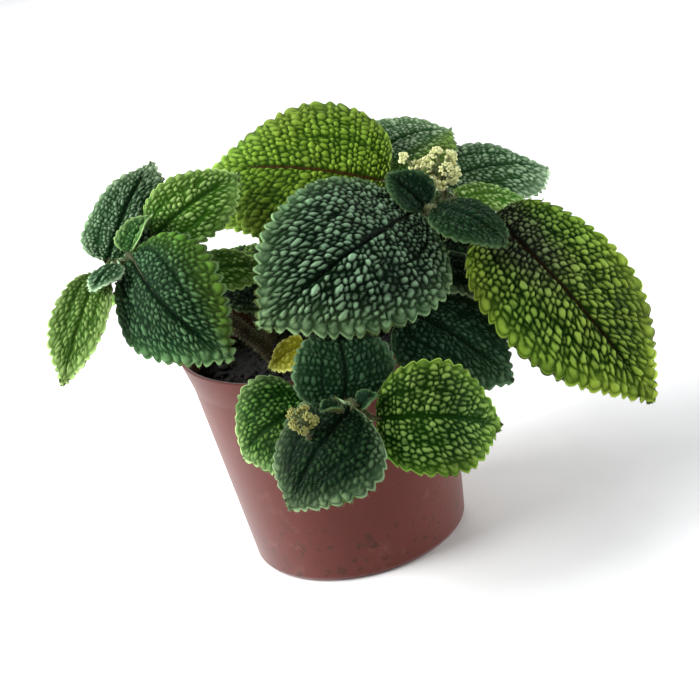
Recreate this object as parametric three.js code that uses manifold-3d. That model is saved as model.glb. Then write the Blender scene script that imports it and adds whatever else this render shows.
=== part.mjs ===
// A friendship plant in its round nursery pot: millimetres, +Z up.
// The origin is the centre of the flat underside of the pot.
import * as THREE from "three";
import { mergeVertices } from "three/addons/utils/BufferGeometryUtils.js";
import Module from "manifold-3d";

const wasm = await Module();
wasm.setup();

// --- driving dimensions ---
const POT_HEIGHT = 72;
const POT_BASE_R = 33.5;
const POT_WALL_R = 40.1;
const POT_RIM_R = 42.5;
const FLARE_HEIGHT = 10;
const WALL = 1.3;
const FLOOR = 1.6;
const DRAIN_HOLES = 6;
const DRAIN_R = 3.2;
const DRAIN_CIRCLE_R = 24;
const POT_SIDES = 36;
const SOIL_TOP = 62;
const GAP = 0.3;
const BLADE = 0.9;
const KEEL = 1.3;
const STEM_SIDES = 7;
const PETIOLE_SIDES = 5;

// --- one seeded source of chance for the whole plant ---
let seed = 20417;
function chance() {
  seed = (seed * 1664525 + 1013904223) % 4294967296;
  return seed / 4294967296;
}

// --- solids ---
function clean(geometry) {
  const bare = geometry.clone();
  bare.deleteAttribute("normal");
  bare.deleteAttribute("uv");
  const merged = mergeVertices(bare, 1e-3);
  const from = merged.index.array;
  const kept = [];
  for (let i = 0; i < from.length; i += 3) {
    const [a, b, c] = [from[i], from[i + 1], from[i + 2]];
    if (a !== b && b !== c && c !== a) kept.push(a, b, c);
  }
  merged.setIndex(kept);
  return merged;
}

function solidOf(geometry) {
  const merged = clean(geometry);
  return new wasm.Manifold(
    new wasm.Mesh({
      numProp: 3,
      vertProperties: new Float32Array(merged.attributes.position.array),
      triVerts: new Uint32Array(merged.index.array),
    }),
  );
}

function geometryOf(solid) {
  const mesh = solid.getMesh();
  const geometry = new THREE.BufferGeometry();
  geometry.setAttribute("position", new THREE.BufferAttribute(mesh.vertProperties, 3));
  geometry.setIndex(new THREE.BufferAttribute(mesh.triVerts, 1));
  return geometry;
}

// One body out of many: sealed specks left between crossing pieces are filled.
function joined(solids) {
  const whole = solids.reduce((sum, piece) => sum.add(piece));
  const bodies = whole.decompose().sort((a, b) => b.volume() - a.volume());
  return bodies[0];
}

function point(p) {
  return new THREE.Vector3(p[0], p[1], p[2]);
}

// --- tubes ---
function tube(points, radius, sides, steps) {
  const outline = new THREE.Shape();
  for (let i = 0; i < sides; i += 1) {
    const turn = (i / sides) * 2 * Math.PI;
    const x = radius * Math.cos(turn);
    const y = radius * Math.sin(turn);
    if (i === 0) outline.moveTo(x, y);
    else outline.lineTo(x, y);
  }
  outline.closePath();
  return new THREE.ExtrudeGeometry(outline, {
    steps,
    bevelEnabled: false,
    extrudePath: new THREE.CatmullRomCurve3(points),
  });
}

// --- the blade of a leaf ---
// Its grid has a line to each tooth and to each notch. The lines leave the midrib
// and sweep forward to the margin, and the blade puffs up between the sunk veins.
const SIZES = {
  large: { teeth: 9, across: 4 },
  medium: { teeth: 6, across: 3 },
  back: { teeth: 5, across: 3 },
  small: { teeth: 4, across: 2 },
  tiny: { teeth: 3, across: 1 },
};

// A leaf's own frame: y from base to tip, z out of its upper face, x to its side.
function frameOf(leaf) {
  const base = point(leaf.base);
  const along = point(leaf.tip).sub(base);
  const length = along.length();
  along.normalize();
  const face = new THREE.Vector3(0, 0, 1);
  if (Math.abs(along.z) > 0.98) face.set(0, 1, 0);
  face.addScaledVector(along, -face.dot(along)).normalize();
  face.applyAxisAngle(along, THREE.MathUtils.degToRad(leaf.roll ?? 0));
  const side = new THREE.Vector3().crossVectors(along, face);
  return { base, along, face, side, length };
}

// Where a spot of the flat blade goes when the leaf bends.
function bent(leaf, frame, x, y) {
  const half = leaf.wide / 2;
  const t = y / frame.length;
  const a = Math.abs(x) / half;
  const sway = (leaf.sway ?? 0) * 4 * t * (1 - t);
  const z =
    (leaf.arch ?? 0) * Math.sin(Math.PI * Math.min(1, Math.max(0, t))) -
    (leaf.cup ?? 0) * a * a +
    (leaf.fold ?? 0) * a +
    (leaf.twist ?? 0) * (x / half) * (t - 0.35) +
    (leaf.wave ?? 0) * a * a * Math.sin(9 * t + (x > 0 ? 1.1 : 3.6));
  return frame.base
    .clone()
    .addScaledVector(frame.side, x + sway)
    .addScaledVector(frame.along, y)
    .addScaledVector(frame.face, z);
}

// The flat outline, s from 0 at the base to 1 at the tip, v from the midrib to the margin.
function flatSpot(leaf, length, s, v, tooth) {
  const half = leaf.wide / 2;
  const bulge = 1 + 0.26 * Math.cos(Math.PI * s);
  const marginX = half * bulge * Math.sin(Math.PI * s) ** (0.75 + 0.3 * s) * 0.96;
  const point = 0.7 * THREE.MathUtils.smoothstep(s, 0.35, 1);
  const marginY = length * ((1 - point) * (0.5 - 0.5 * Math.cos(Math.PI * s)) + point * s);
  const midribY = length * s ** 1.55;
  const reach = Math.abs(v);
  const x = (marginX + tooth) * reach;
  const y = midribY + (marginY + 0.5 * tooth - midribY) * reach ** 1.2;
  return [Math.sign(v) * x, y];
}

function blade(leaf) {
  const frame = frameOf(leaf);
  const { teeth, across } = SIZES[leaf.size];
  const rows = 2 * teeth;
  const sheet = new THREE.PlaneGeometry(2, 1, 2 * across, rows);
  const spots = sheet.attributes.position;
  const puff = Math.min(1.2, 0.02 * frame.length + 0.25);
  const bite = Math.min(1.3, 0.022 * frame.length + 0.2);
  const top = [];
  const under = [];
  for (let i = 0; i < spots.count; i += 1) {
    const v = spots.getX(i);
    const s = 0.5 - spots.getY(i);
    const line = Math.round(s * rows);
    const column = Math.round(Math.abs(v) * across);
    const onTooth = line % 2 === 1;
    const margin = column === across;
    const tooth = margin && line > 0 && line < rows ? (onTooth ? bite : -bite) : 0;
    const [x, y] = flatSpot(leaf, frame.length, s, v, tooth);
    const here = bent(leaf, frame, x, y);
    const ahead = bent(leaf, frame, x, y + 0.5);
    const beside = bent(leaf, frame, x + 0.5, y);
    const out = new THREE.Vector3()
      .crossVectors(beside.sub(here), ahead.sub(here))
      .normalize();
    let lift = 0;
    if (column === 0) lift = -0.7 * puff;
    else if (!margin) {
      const puffed = line % 4 === 1 ? column % 2 === 1 : column % 2 === 0;
      lift = onTooth ? (puffed ? puff : -0.1 * puff) : -0.6 * puff;
    }
    if (line === 0 || line === rows) lift = 0;
    const keel = column === 0 ? KEEL * (1 - 0.8 * s) * Math.min(1, frame.length / 40) : 0;
    here.addScaledVector(out, lift);
    top.push(here);
    under.push(here.clone().addScaledVector(out, -(BLADE + keel)));
  }
  const count = spots.count;
  const columns = 2 * across + 1;
  const faces = [];
  const grid = sheet.index.array;
  for (let i = 0; i < grid.length; i += 3) {
    const [a, b, c] = [grid[i], grid[i + 1], grid[i + 2]];
    faces.push(a, c, b, count + a, count + b, count + c);
  }
  for (let line = 0; line < rows; line += 1) {
    const left = line * columns;
    const right = left + columns - 1;
    const quads = [
      [left, left + columns],
      [right + columns, right],
    ];
    for (const [a, b] of quads) {
      faces.push(a, b, count + a, b, count + b, count + a);
    }
  }
  const geometry = new THREE.BufferGeometry();
  geometry.setFromPoints([...top, ...under]);
  // The ends of the grid close to one spot each, at the base and at the tip.
  const place = geometry.attributes.position;
  for (const half of [0, count]) {
    for (const first of [0, rows * columns]) {
      const middle = half + first + across;
      for (let i = 0; i < columns; i += 1) {
        const spot = half + first + i;
        place.setXYZ(spot, place.getX(middle), place.getY(middle), place.getZ(middle));
      }
    }
  }
  geometry.setIndex(faces);
  return geometry;
}

// The leaf stalk runs from the stem to the leaf and on under the first of its midrib.
function petiole(leaf, from) {
  const frame = frameOf(leaf);
  const depth = 0.5 * BLADE + 0.5;
  const end = bent(leaf, frame, 0, 0.05 * frame.length).addScaledVector(frame.face, -depth);
  const near = frame.base
    .clone()
    .addScaledVector(frame.face, -depth)
    .addScaledVector(frame.along, -0.02 * frame.length);
  const span = from.distanceTo(near);
  const middle = from.clone().lerp(near, 0.5);
  middle.z += (leaf.rise ?? 0.08) * span;
  const radius = leaf.stalk ?? (frame.length > 40 ? 1.35 : 1.05);
  return tube([from, middle, near, end], radius, PETIOLE_SIDES, span > 14 ? 6 : 4);
}

// --- where everything grows ---
// Roll turns a leaf's face about its midrib; arch lifts the middle of the midrib; cup
// bends the sides down and fold lifts them; "at" is where on the stem the stalk starts.
const STEMS = [
  {
    name: "leafy_stem_right",
    color: 0x2f5a2c,
    radius: 2.6,
    path: [[14, 4, 48], [14, 4, 62], [22, 4, 80], [33, 1, 93], [40, -3, 100]],
    flowerStalk: [[39, -1, 98], [45, 4, 98], [48, 8, 100]],
    leaves: [
      {
        size: "large", base: [37.5, -6, 102], tip: [-16, -43.5, 91],
        wide: 55, roll: -39, arch: 9.5, cup: 5, sway: -1.7, at: 0.8,
      },
      {
        size: "large", base: [59.5, -10, 96], tip: [93, -38, 37],
        wide: 47, roll: 25, arch: 5, cup: 4, at: 0.85,
      },
      {
        size: "large", base: [32, 9, 108], tip: [-20, 30, 118],
        wide: 55, roll: -38, arch: 5, cup: 6, at: 0.9,
      },
      {
        size: "small", base: [43.5, -10, 103.3], tip: [61, -23, 90],
        wide: 25, roll: 0, arch: 3, cup: 2, at: 0.98,
      },
      {
        size: "tiny", base: [40.5, -5, 101.5], tip: [31.8, 3, 112.5],
        wide: 16, roll: -10, arch: 1, fold: 2, at: 1,
      },
      {
        size: "small", base: [51, 0, 101], tip: [74, 12, 89],
        wide: 14, roll: 25, arch: 3, cup: 2, at: 0.95,
      },
    ],
  },
  {
    name: "leafy_stem_left",
    color: 0x2f5f3a,
    radius: 2.4,
    path: [[-14, 2, 48], [-14, 2, 62], [-29, 0, 84], [-43, -5, 100], [-50, -8, 107]],
    leaves: [
      {
        size: "medium", base: [-55, -4.5, 108.5], tip: [-36.5, 25, 126.5],
        wide: 26, roll: 12, arch: 3, cup: 3, at: 0.95,
      },
      {
        size: "large", base: [-47.5, -14, 111], tip: [-24, -44, 83.5],
        wide: 36, roll: 50, arch: 8.5, cup: 8, sway: 1, at: 0.98,
      },
      {
        size: "medium", base: [-58.5, -13.5, 108], tip: [-75.5, -29, 82],
        wide: 22, roll: -6, arch: 2.5, cup: -1, sway: -1.5, at: 0.97,
      },
      {
        size: "medium", base: [-40, -2, 112], tip: [-11, 12, 120],
        wide: 25, roll: 40, arch: 3, cup: 2, at: 0.9,
      },
      {
        size: "small", base: [-32, -5, 99], tip: [-9, 3, 92],
        wide: 17, roll: 38, arch: 2, cup: 2, at: 0.6,
      },
      {
        size: "tiny", base: [-52, -15, 110.5], tip: [-60.5, -24, 106.5],
        wide: 12, roll: 0, arch: 1, cup: 1, at: 1,
      },
      {
        size: "tiny", base: [-48, -8, 110], tip: [-39, 0, 118],
        wide: 14, roll: -10, arch: 1, fold: 3, at: 1,
      },
    ],
  },
  {
    name: "leafy_stem_front",
    color: 0x3a6a24,
    radius: 2.2,
    path: [[2, -16, 48], [2, -18, 62], [4, -30, 74], [4, -42, 76.6], [4, -50, 73], [3, -56, 67]],
    flowerStalk: [[3, -54, 69], [-2, -62, 66], [-8, -67.5, 65]],
    leaves: [
      {
        size: "medium", base: [3, -58, 68], tip: [4.5, -40, 86],
        wide: 30, roll: 15, arch: 5.5, cup: 0.5, sway: 1.4, at: 0.95,
      },
      {
        size: "medium", base: [11, -63, 64.5], tip: [46, -56, 49.5],
        wide: 34, roll: 57, arch: 8, cup: 1, at: 0.97,
      },
      {
        size: "medium", base: [5, -64, 70.2], tip: [-19, -73, 47.6],
        wide: 37, roll: -24, arch: 5, cup: 5.5, sway: -1, at: 1,
      },
      {
        size: "medium", base: [-6.5, -49.5, 67.5], tip: [-29, -46.5, 54.5],
        wide: 31, roll: -50, arch: 6, cup: 1, at: 0.95,
      },
      {
        size: "small", base: [-4, -37, 81.5], tip: [-16, -35, 75],
        wide: 12, roll: -30, arch: 1, cup: 1, at: 0.6,
      },
      {
        size: "tiny", base: [7, -62, 68.5], tip: [13, -61, 71],
        wide: 8, roll: 10, arch: 1, fold: 1, at: 1,
      },
      {
        size: "tiny", base: [2, -65, 71], tip: [-4, -67.5, 72.5],
        wide: 8, roll: 0, arch: 1, fold: 1, at: 1,
      },
    ],
  },
  {
    name: "leafy_stem_back_right",
    color: 0x2a5130,
    radius: 2.4,
    path: [[20, 16, 48], [20, 16, 62], [30, 20, 82], [38, 21, 96], [40, 22, 101]],
    leaves: [
      {
        size: "medium", base: [27.5, 29, 110.5], tip: [58, 49, 106.5],
        wide: 35, roll: 20, arch: 4, cup: 3, at: 1,
      },
      {
        size: "medium", base: [48, 20, 101], tip: [85, 38, 90],
        wide: 34, roll: 25, arch: 4, cup: 3, at: 0.95,
      },
      { size: "back", base: [41, 26, 92], tip: [60, 60, 76], wide: 36, roll: 0, arch: 5, cup: 4, at: 0.75 },
      { size: "back", base: [44, 16, 86], tip: [78, 4, 66], wide: 32, roll: 0, arch: 4, cup: 3, at: 0.7 },
    ],
  },
  {
    name: "leafy_stem_low",
    color: 0x1f4424,
    radius: 2,
    path: [[24, -8, 48], [24, -8, 62], [26, -14, 71], [28, -20, 77]],
    leaves: [
      {
        size: "medium", base: [27, -26, 80], tip: [53, -40, 55],
        wide: 37, roll: 20, arch: 3, cup: 3, at: 1,
      },
      {
        size: "small", base: [37, -11, 87], tip: [56, -17, 73],
        wide: 18, roll: 20, arch: 4, cup: 2, at: 1,
      },
    ],
  },
  {
    name: "leafy_stem_back_left",
    color: 0x33603a,
    radius: 2.2,
    path: [[-14, 18, 48], [-14, 18, 62], [-20, 25, 78], [-24, 31, 88]],
    leaves: [
      { size: "back", base: [-31, 33, 90], tip: [-64, 42, 78], wide: 34, roll: 0, arch: 5, cup: 4, at: 1 },
      { size: "back", base: [-20, 38, 85], tip: [-10, 70, 70], wide: 34, roll: 0, arch: 5, cup: 4, at: 1 },
      {
        size: "back", base: [-26, 24, 82], tip: [-52, 22, 73],
        wide: 30, roll: 0, arch: 4, cup: 3, at: 0.8,
      },
      {
        size: "small", base: [-26, 21, 86], tip: [-13, 6, 77],
        wide: 22, roll: 10, arch: 2, fold: 1, at: 1,
      },
    ],
  },
  {
    name: "leafy_stem_back",
    color: 0x3d6f2c,
    radius: 2.2,
    path: [[4, 26, 48], [4, 26, 62], [7, 32, 78], [10, 36, 92]],
    leaves: [
      { size: "back", base: [10, 42, 92], tip: [22, 76, 74], wide: 36, roll: 0, arch: 5, cup: 4, at: 1 },
      { size: "back", base: [4, 38, 96], tip: [-26, 52, 98], wide: 34, roll: 0, arch: 4, cup: 4, at: 1 },
      { size: "small", base: [12, 34, 96], tip: [22, 30, 104], wide: 16, roll: 0, arch: 2, fold: 2, at: 1 },
    ],
  },
];

// Flower heads: a round core set with buds, each head on the stalk of one stem.
const CORE_SHARE = 0.62;
const HEADS = [
  {
    name: "flower_head_right",
    on: "leafy_stem_right",
    color: 0xe1dc96,
    at: [48, 8, 107.8],
    radius: 8,
    florets: 16,
  },
  {
    name: "flower_head_front",
    on: "leafy_stem_front",
    color: 0xb3b046,
    at: [-9, -69.5, 71.8],
    radius: 5.2,
    florets: 10,
  },
];

function leafyStem(spec) {
  const path = spec.path.map(point);
  const curve = new THREE.CatmullRomCurve3(path);
  const pieces = [tube(path, spec.radius, STEM_SIDES, 2 * (path.length - 1))];
  for (const leaf of spec.leaves) {
    pieces.push(petiole(leaf, curve.getPointAt(Math.min(0.985, leaf.at))));
    pieces.push(blade(leaf));
  }
  if (spec.flowerStalk) {
    const head = HEADS.find((one) => one.on === spec.name);
    const seat = point(head.at);
    seat.z -= CORE_SHARE * head.radius + GAP;
    pieces.push(tube([...spec.flowerStalk.map(point), seat], 0.9, PETIOLE_SIDES, 8));
  }
  return joined(pieces.map(solidOf));
}

// --- the pot ---
function pot() {
  const shoulder = POT_HEIGHT - FLARE_HEIGHT;
  const inner = POT_WALL_R - WALL;
  const profile = [
    [0, 0],
    [POT_BASE_R - 2, 0],
    [POT_BASE_R - 0.5, 0.6],
    [POT_BASE_R, 2],
    [POT_WALL_R, shoulder],
    [POT_RIM_R, POT_HEIGHT - 0.6],
    [POT_RIM_R - 0.5, POT_HEIGHT],
    [POT_RIM_R - WALL, POT_HEIGHT],
    [inner, shoulder],
    [POT_BASE_R - WALL, FLOOR + 1.5],
    [POT_BASE_R - WALL - 1.5, FLOOR],
    [0, FLOOR],
  ];
  const shell = new THREE.LatheGeometry(
    profile.map(([r, z]) => new THREE.Vector2(r, z)),
    POT_SIDES,
  ).rotateX(Math.PI / 2);
  let body = solidOf(shell);
  for (let i = 0; i < DRAIN_HOLES; i += 1) {
    const turn = ((i + 0.5) / DRAIN_HOLES) * 2 * Math.PI;
    const drill = new THREE.CylinderGeometry(DRAIN_R, DRAIN_R, 12, 12)
      .rotateX(Math.PI / 2)
      .translate(DRAIN_CIRCLE_R * Math.cos(turn), DRAIN_CIRCLE_R * Math.sin(turn), 0);
    body = body.subtract(solidOf(drill));
  }
  return body;
}

// --- the soil ---
function soil() {
  const floor = FLOOR + GAP;
  const innerAt = (z) => {
    const share = (z - 2) / (POT_HEIGHT - FLARE_HEIGHT - 2);
    return POT_BASE_R + (POT_WALL_R - POT_BASE_R) * share - WALL - GAP;
  };
  const edge = innerAt(SOIL_TOP);
  const profile = [
    [0, floor],
    [innerAt(4) - 2.5, floor],
    [innerAt(4) - 0.4, floor + 2],
    [edge - 0.3, SOIL_TOP - 1.5],
    [edge * 0.86, SOIL_TOP],
    [edge * 0.62, SOIL_TOP + 0.5],
    [edge * 0.36, SOIL_TOP + 0.8],
    [0, SOIL_TOP + 1],
  ];
  const plug = clean(
    new THREE.LatheGeometry(
      profile.map(([r, z]) => new THREE.Vector2(r, z)),
      24,
    ).rotateX(Math.PI / 2),
  );
  const spots = plug.attributes.position;
  for (let i = 0; i < spots.count; i += 1) {
    const r = Math.hypot(spots.getX(i), spots.getY(i));
    if (spots.getZ(i) > SOIL_TOP - 1 && r > 1) {
      spots.setZ(i, spots.getZ(i) + 2.4 * (chance() - 0.5));
    }
  }
  let body = solidOf(plug);
  for (const spec of STEMS) {
    const path = spec.path.map(point);
    path[0].z -= GAP;
    const hole = tube(path, spec.radius + 2 * GAP, STEM_SIDES + 3, 2 * (path.length - 1));
    body = body.subtract(solidOf(hole));
  }
  return body;
}

// --- flower heads ---
function flowerHead(spec) {
  const core = new THREE.IcosahedronGeometry(spec.radius * CORE_SHARE, 1);
  const pieces = [core];
  for (let i = 0; i < spec.florets; i += 1) {
    const up = 1 - (1.5 * (i + 0.5)) / spec.florets;
    const turn = i * 2.39996;
    const ring = Math.sqrt(1 - up * up);
    const reach = spec.radius * (0.7 + 0.14 * chance());
    const ray = new THREE.Vector3(ring * Math.cos(turn), ring * Math.sin(turn), up);
    const size = spec.radius * (0.18 + 0.05 * chance());
    const bud = new THREE.OctahedronGeometry(size, 0)
      .scale(1, 1, 1.8)
      .applyQuaternion(new THREE.Quaternion().setFromUnitVectors(new THREE.Vector3(0, 0, 1), ray))
      .translate(reach * ray.x, reach * ray.y, reach * ray.z);
    pieces.push(bud);
  }
  const [x, y, z] = spec.at;
  return joined(pieces.map(solidOf)).translate([x, y, z]);
}

// --- the whole plant ---
const plant = new THREE.Group();
function place(name, solid, color, roughness) {
  const material = new THREE.MeshStandardMaterial({ color, roughness, metalness: 0 });
  const mesh = new THREE.Mesh(geometryOf(solid), material);
  mesh.name = name;
  plant.add(mesh);
}

place("pot", pot(), 0x91504a, 0.55);
place("soil", soil(), 0x1b1614, 0.95);
for (const spec of STEMS) place(spec.name, leafyStem(spec), spec.color, 0.6);
for (const spec of HEADS) place(spec.name, flowerHead(spec), spec.color, 0.7);

export default plant;
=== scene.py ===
"""The looks of the friendship plant in its nursery pot, in Blender.

Everything is built by formula, in millimetres, and scaled to metres when a mesh is made.
"""

import math

import bmesh
import bpy
import numpy as np
from mathutils import Matrix, Vector


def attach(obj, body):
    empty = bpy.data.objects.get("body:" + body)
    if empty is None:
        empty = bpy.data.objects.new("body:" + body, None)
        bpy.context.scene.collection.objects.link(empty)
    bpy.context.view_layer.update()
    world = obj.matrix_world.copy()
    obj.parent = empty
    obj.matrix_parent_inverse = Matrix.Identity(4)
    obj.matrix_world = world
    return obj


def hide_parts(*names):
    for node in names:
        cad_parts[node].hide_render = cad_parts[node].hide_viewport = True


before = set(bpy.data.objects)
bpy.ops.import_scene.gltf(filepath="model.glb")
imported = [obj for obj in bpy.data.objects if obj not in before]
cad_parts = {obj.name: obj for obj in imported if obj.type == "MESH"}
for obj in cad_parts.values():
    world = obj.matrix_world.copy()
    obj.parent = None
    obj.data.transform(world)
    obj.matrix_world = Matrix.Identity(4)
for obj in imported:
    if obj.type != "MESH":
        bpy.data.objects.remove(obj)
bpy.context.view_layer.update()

MM = 0.001
TAU = 2 * math.pi
GOLDEN_ANGLE = 2.39996

# --- the sizes shared with the solids, in mm ---
POT_HEIGHT = 72
POT_BASE_R = 33.5
POT_WALL_R = 40.1
POT_RIM_R = 42.5
FLARE_HEIGHT = 10
WALL = 1.3
FLOOR_THICK = 1.6
DRAIN_HOLES = 6
DRAIN_R = 3.2
DRAIN_CIRCLE_R = 24
SOIL_TOP = 62
FOOT_RISE = 0.9  # how far the middle of the underside stands off the table

# --- blades ---
BLADE_THICK = 0.75
GRID_STEP = 0.43  # between the points of a large leaf's upper face
FULL_LENGTH = 60  # a leaf this long has full-size puffs and teeth
TOOTH_PITCH = 3.9
PUFF_PITCH, PUFF_PITCH_GAIN = 1.2, 0.85
PUFF_HEIGHT, PUFF_HEIGHT_GAIN = 0.5, 0.75
FINE_GRAIN = 0.07

# --- stalks and hairs ---
ALONG_STEM_MAX = 0.985  # no leaf starts closer than this to the very tip of its stem
STEM_SIDES, STALK_SIDES = 16, 10
STALK_R, SMALL_STALK_R, TINY_STALK_R = 1.35, 1.05, 0.7
LARGE_LEAF, TINY_LEAF = 40, 20  # the lengths from which the stalk is thick, or thin
STEM_HAIR, STALK_HAIR, RIB_HAIR, FLOWER_STALK_HAIR = 1.5, 1.2, 0.6, 1.0  # lengths
STEM_HAIRS, STALK_HAIRS, RIB_HAIRS, MARGIN_HAIRS = 22, 15, 5, 3  # to a millimetre of run
FACE_HAIRS = 0.32  # to a square millimetre of the leaf's length by its width
FLOWER_STALK_HAIRS = 320


# --- where everything grows ---
def leaf_at(
    look, base, tip, wide, at, roll, arch, cup=0, fold=0, sway=0, grain=1, plump=0.3, lit=1
):
    """A leaf whose midrib runs from base to tip; its stalk starts at this share of the stem.

    Roll turns the face about the midrib, arch lifts the middle of the midrib, cup bends the
    sides down and fold lifts them, and sway bows the midrib sideways. Grain sets how large
    the puffs are, plump how far they fill their cells, and lit which side gets the yellower
    band of painted light.
    """
    return {
        "look": look, "base": base, "tip": tip, "wide": wide, "at": at,
        "roll": roll, "arch": arch, "cup": cup, "fold": fold, "sway": sway,
        "grain": grain, "plump": plump, "lit": lit,
    }


STEMS = [
    {
        "name": "leafy_stem_right", "slot": "leaf_deep_green", "radius": 2.6,
        "path": [[14, 4, 48], [14, 4, 62], [22, 4, 80], [33, 1, 93], [40, -3, 100]],
        "flower_stalk": [[39, -1, 98], [45, 4, 98], [48, 8, 100]],
        "leaves": [
            leaf_at(
                "dark", [37.5, -6, 102], [-16, -43.5, 91], 55, 0.8,
                roll=-39, arch=9.5, cup=5, sway=-1.7,
            ),
            leaf_at("bronze", [59.5, -10, 96], [93, -38, 37], 47, 0.85, roll=25, arch=5, cup=4, plump=0.6),
            leaf_at("lime", [32, 9, 108], [-20, 30, 118], 55, 0.9, roll=-38, arch=5, cup=6, plump=0.7),
            leaf_at("smooth", [43.5, -10, 103.3], [61, -23, 90], 25, 0.98, roll=0, arch=3, cup=2),
            leaf_at("smooth", [40.5, -5, 101.5], [31.8, 3, 112.5], 16, 1, roll=-10, arch=1, fold=2),
            leaf_at("fresh_painted_light", [51, 0, 101], [74, 12, 89], 16, 0.95, roll=25, arch=3, cup=2),
        ],
    },
    {
        "name": "leafy_stem_left", "slot": "leaf_blue_green", "radius": 2.4,
        "path": [[-14, 2, 48], [-14, 2, 62], [-29, 0, 84], [-43, -5, 100], [-50, -8, 107]],
        "leaves": [
            leaf_at(
                "grey", [-55, -4.5, 108.5], [-36.5, 25, 126.5], 26, 0.95,
                roll=12, arch=3, cup=3, grain=0.82,
            ),
            leaf_at(
                "blue", [-47.5, -14, 111], [-24, -44, 83.5], 36, 0.98,
                roll=50, arch=8.5, cup=8, sway=1, lit=-0.72, grain=0.85, plump=0.2,
            ),
            leaf_at(
                "pale", [-58.5, -13.5, 108], [-75.5, -29, 82], 22, 0.97,
                roll=-6, arch=2.5, cup=-1, sway=-1.5, plump=0.6,
            ),
            leaf_at("fresh", [-40, -2, 112], [-11, 12, 120], 25, 0.9, roll=40, arch=3, cup=2),
            leaf_at("fresh", [-32, -5, 99], [-9, 3, 92], 17, 0.6, roll=38, arch=2, cup=2),
            leaf_at("grey", [-52, -15, 110.5], [-60.5, -24, 106.5], 12, 1, roll=0, arch=1, cup=1),
            leaf_at("young", [-48, -8, 110], [-39, 0, 118], 14, 1, roll=-10, arch=1, fold=3),
        ],
    },
    {
        "name": "leafy_stem_front", "slot": "leaf_fresh_green", "radius": 2.2,
        "path": [[2, -16, 48], [2, -18, 62], [4, -30, 74], [4, -42, 76.6], [4, -50, 73], [3, -56, 67]],
        "flower_stalk": [[3, -54, 69], [-2, -62, 66], [-8, -67.5, 65]],
        "leaves": [
            leaf_at("smooth_painted_light", [3, -58, 68], [4.5, -40, 86], 30, 0.95, roll=15, arch=5.5, cup=0.5, sway=1.4),
            leaf_at(
                "bright", [11, -63, 64.5], [46, -56, 49.5], 34, 0.97,
                roll=57, arch=8, cup=1, plump=0.5,
            ),
            leaf_at("deep", [5, -64, 70.2], [-19, -73, 47.6], 37, 1, roll=-24, arch=5, cup=5.5, sway=-1),
            leaf_at("side", [-6.5, -49.5, 67.5], [-29, -46.5, 54.5], 31, 0.95, roll=-50, arch=6, cup=1),
            leaf_at("yellow", [-4, -37, 81.5], [-16, -35, 75], 12, 0.6, roll=-30, arch=1, cup=1),
            leaf_at("smooth", [7, -62, 68.5], [13, -61, 71], 8, 1, roll=10, arch=1, fold=1),
            leaf_at("smooth", [2, -65, 71], [-4, -67.5, 72.5], 8, 1, roll=0, arch=1, fold=1),
        ],
    },
    {
        "name": "leafy_stem_back_right", "slot": "leaf_deep_green", "radius": 2.4,
        "path": [[20, 16, 48], [20, 16, 62], [30, 20, 82], [38, 21, 96], [40, 22, 101]],
        "leaves": [
            leaf_at("pale_painted_backlight", [27.5, 29, 110.5], [58, 49, 106.5], 35, 1, roll=20, arch=4, cup=3, grain=0.85),
            leaf_at("silver", [48, 20, 101], [85, 38, 90], 34, 0.95, roll=25, arch=4, cup=3),
            leaf_at("green", [41, 26, 92], [60, 60, 76], 36, 0.75, roll=0, arch=5, cup=4),
            leaf_at("deep", [44, 16, 86], [78, 4, 66], 32, 0.7, roll=0, arch=4, cup=3),
        ],
    },
    {
        "name": "leafy_stem_low", "slot": "leaf_deep_green", "radius": 2,
        "path": [[24, -8, 48], [24, -8, 62], [26, -14, 71], [28, -20, 77]],
        "leaves": [
            leaf_at("smooth_painted_light", [27, -26, 80], [53, -40, 55], 37, 1, roll=20, arch=3, cup=3),
            leaf_at("deep", [37, -11, 87], [56, -17, 73], 18, 1, roll=20, arch=4, cup=2),
        ],
    },
    {
        "name": "leafy_stem_back_left", "slot": "leaf_blue_green", "radius": 2.2,
        "path": [[-14, 18, 48], [-14, 18, 62], [-20, 25, 78], [-24, 31, 88]],
        "leaves": [
            leaf_at("green", [-31, 33, 90], [-64, 42, 78], 34, 1, roll=0, arch=5, cup=4),
            leaf_at("bright", [-20, 38, 85], [-10, 70, 70], 34, 1, roll=0, arch=5, cup=4),
            leaf_at("dark", [-26, 24, 82], [-52, 22, 73], 30, 0.8, roll=0, arch=4, cup=3),
            leaf_at("deep", [-26, 21, 86], [-13, 6, 77], 22, 1, roll=10, arch=2, fold=1),
        ],
    },
    {
        "name": "leafy_stem_back", "slot": "leaf_fresh_green", "radius": 2.2,
        "path": [[4, 26, 48], [4, 26, 62], [7, 32, 78], [10, 36, 92]],
        "leaves": [
            leaf_at("bright", [10, 42, 92], [22, 76, 74], 36, 1, roll=0, arch=5, cup=4),
            leaf_at("lime", [4, 38, 96], [-26, 52, 98], 34, 1, roll=0, arch=4, cup=4),
            leaf_at("young", [12, 34, 96], [22, 30, 104], 16, 1, roll=0, arch=2, fold=2),
        ],
    },
]

# Turn is where the spiral of clusters starts; side clusters stand on a branch of their own.
HEADS = [
    {
        "name": "flower_head_right", "on": "leafy_stem_right", "at": [48, 8, 107.8], "radius": 8,
        "clusters": 11, "turn": 1.56, "side": [[38.2, 6, 114.4], [41.2, 7, 110.6]],
        "look": "cream", "slot": "flower_cream",
    },
    {
        "name": "flower_head_front", "on": "leafy_stem_front", "at": [-9, -69.5, 71.8], "radius": 5.2,
        "clusters": 9, "turn": 0.4, "side": [],
        "look": "yellow", "slot": "flower_yellow_green",
    },
]


# --- small helpers ---
def unit(v):
    return v / np.maximum(np.linalg.norm(v, axis=-1, keepdims=True), 1e-12)


def smoothstep(x, low, high):
    t = np.clip((x - low) / (high - low), 0, 1)
    return t * t * (3 - 2 * t)


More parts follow.
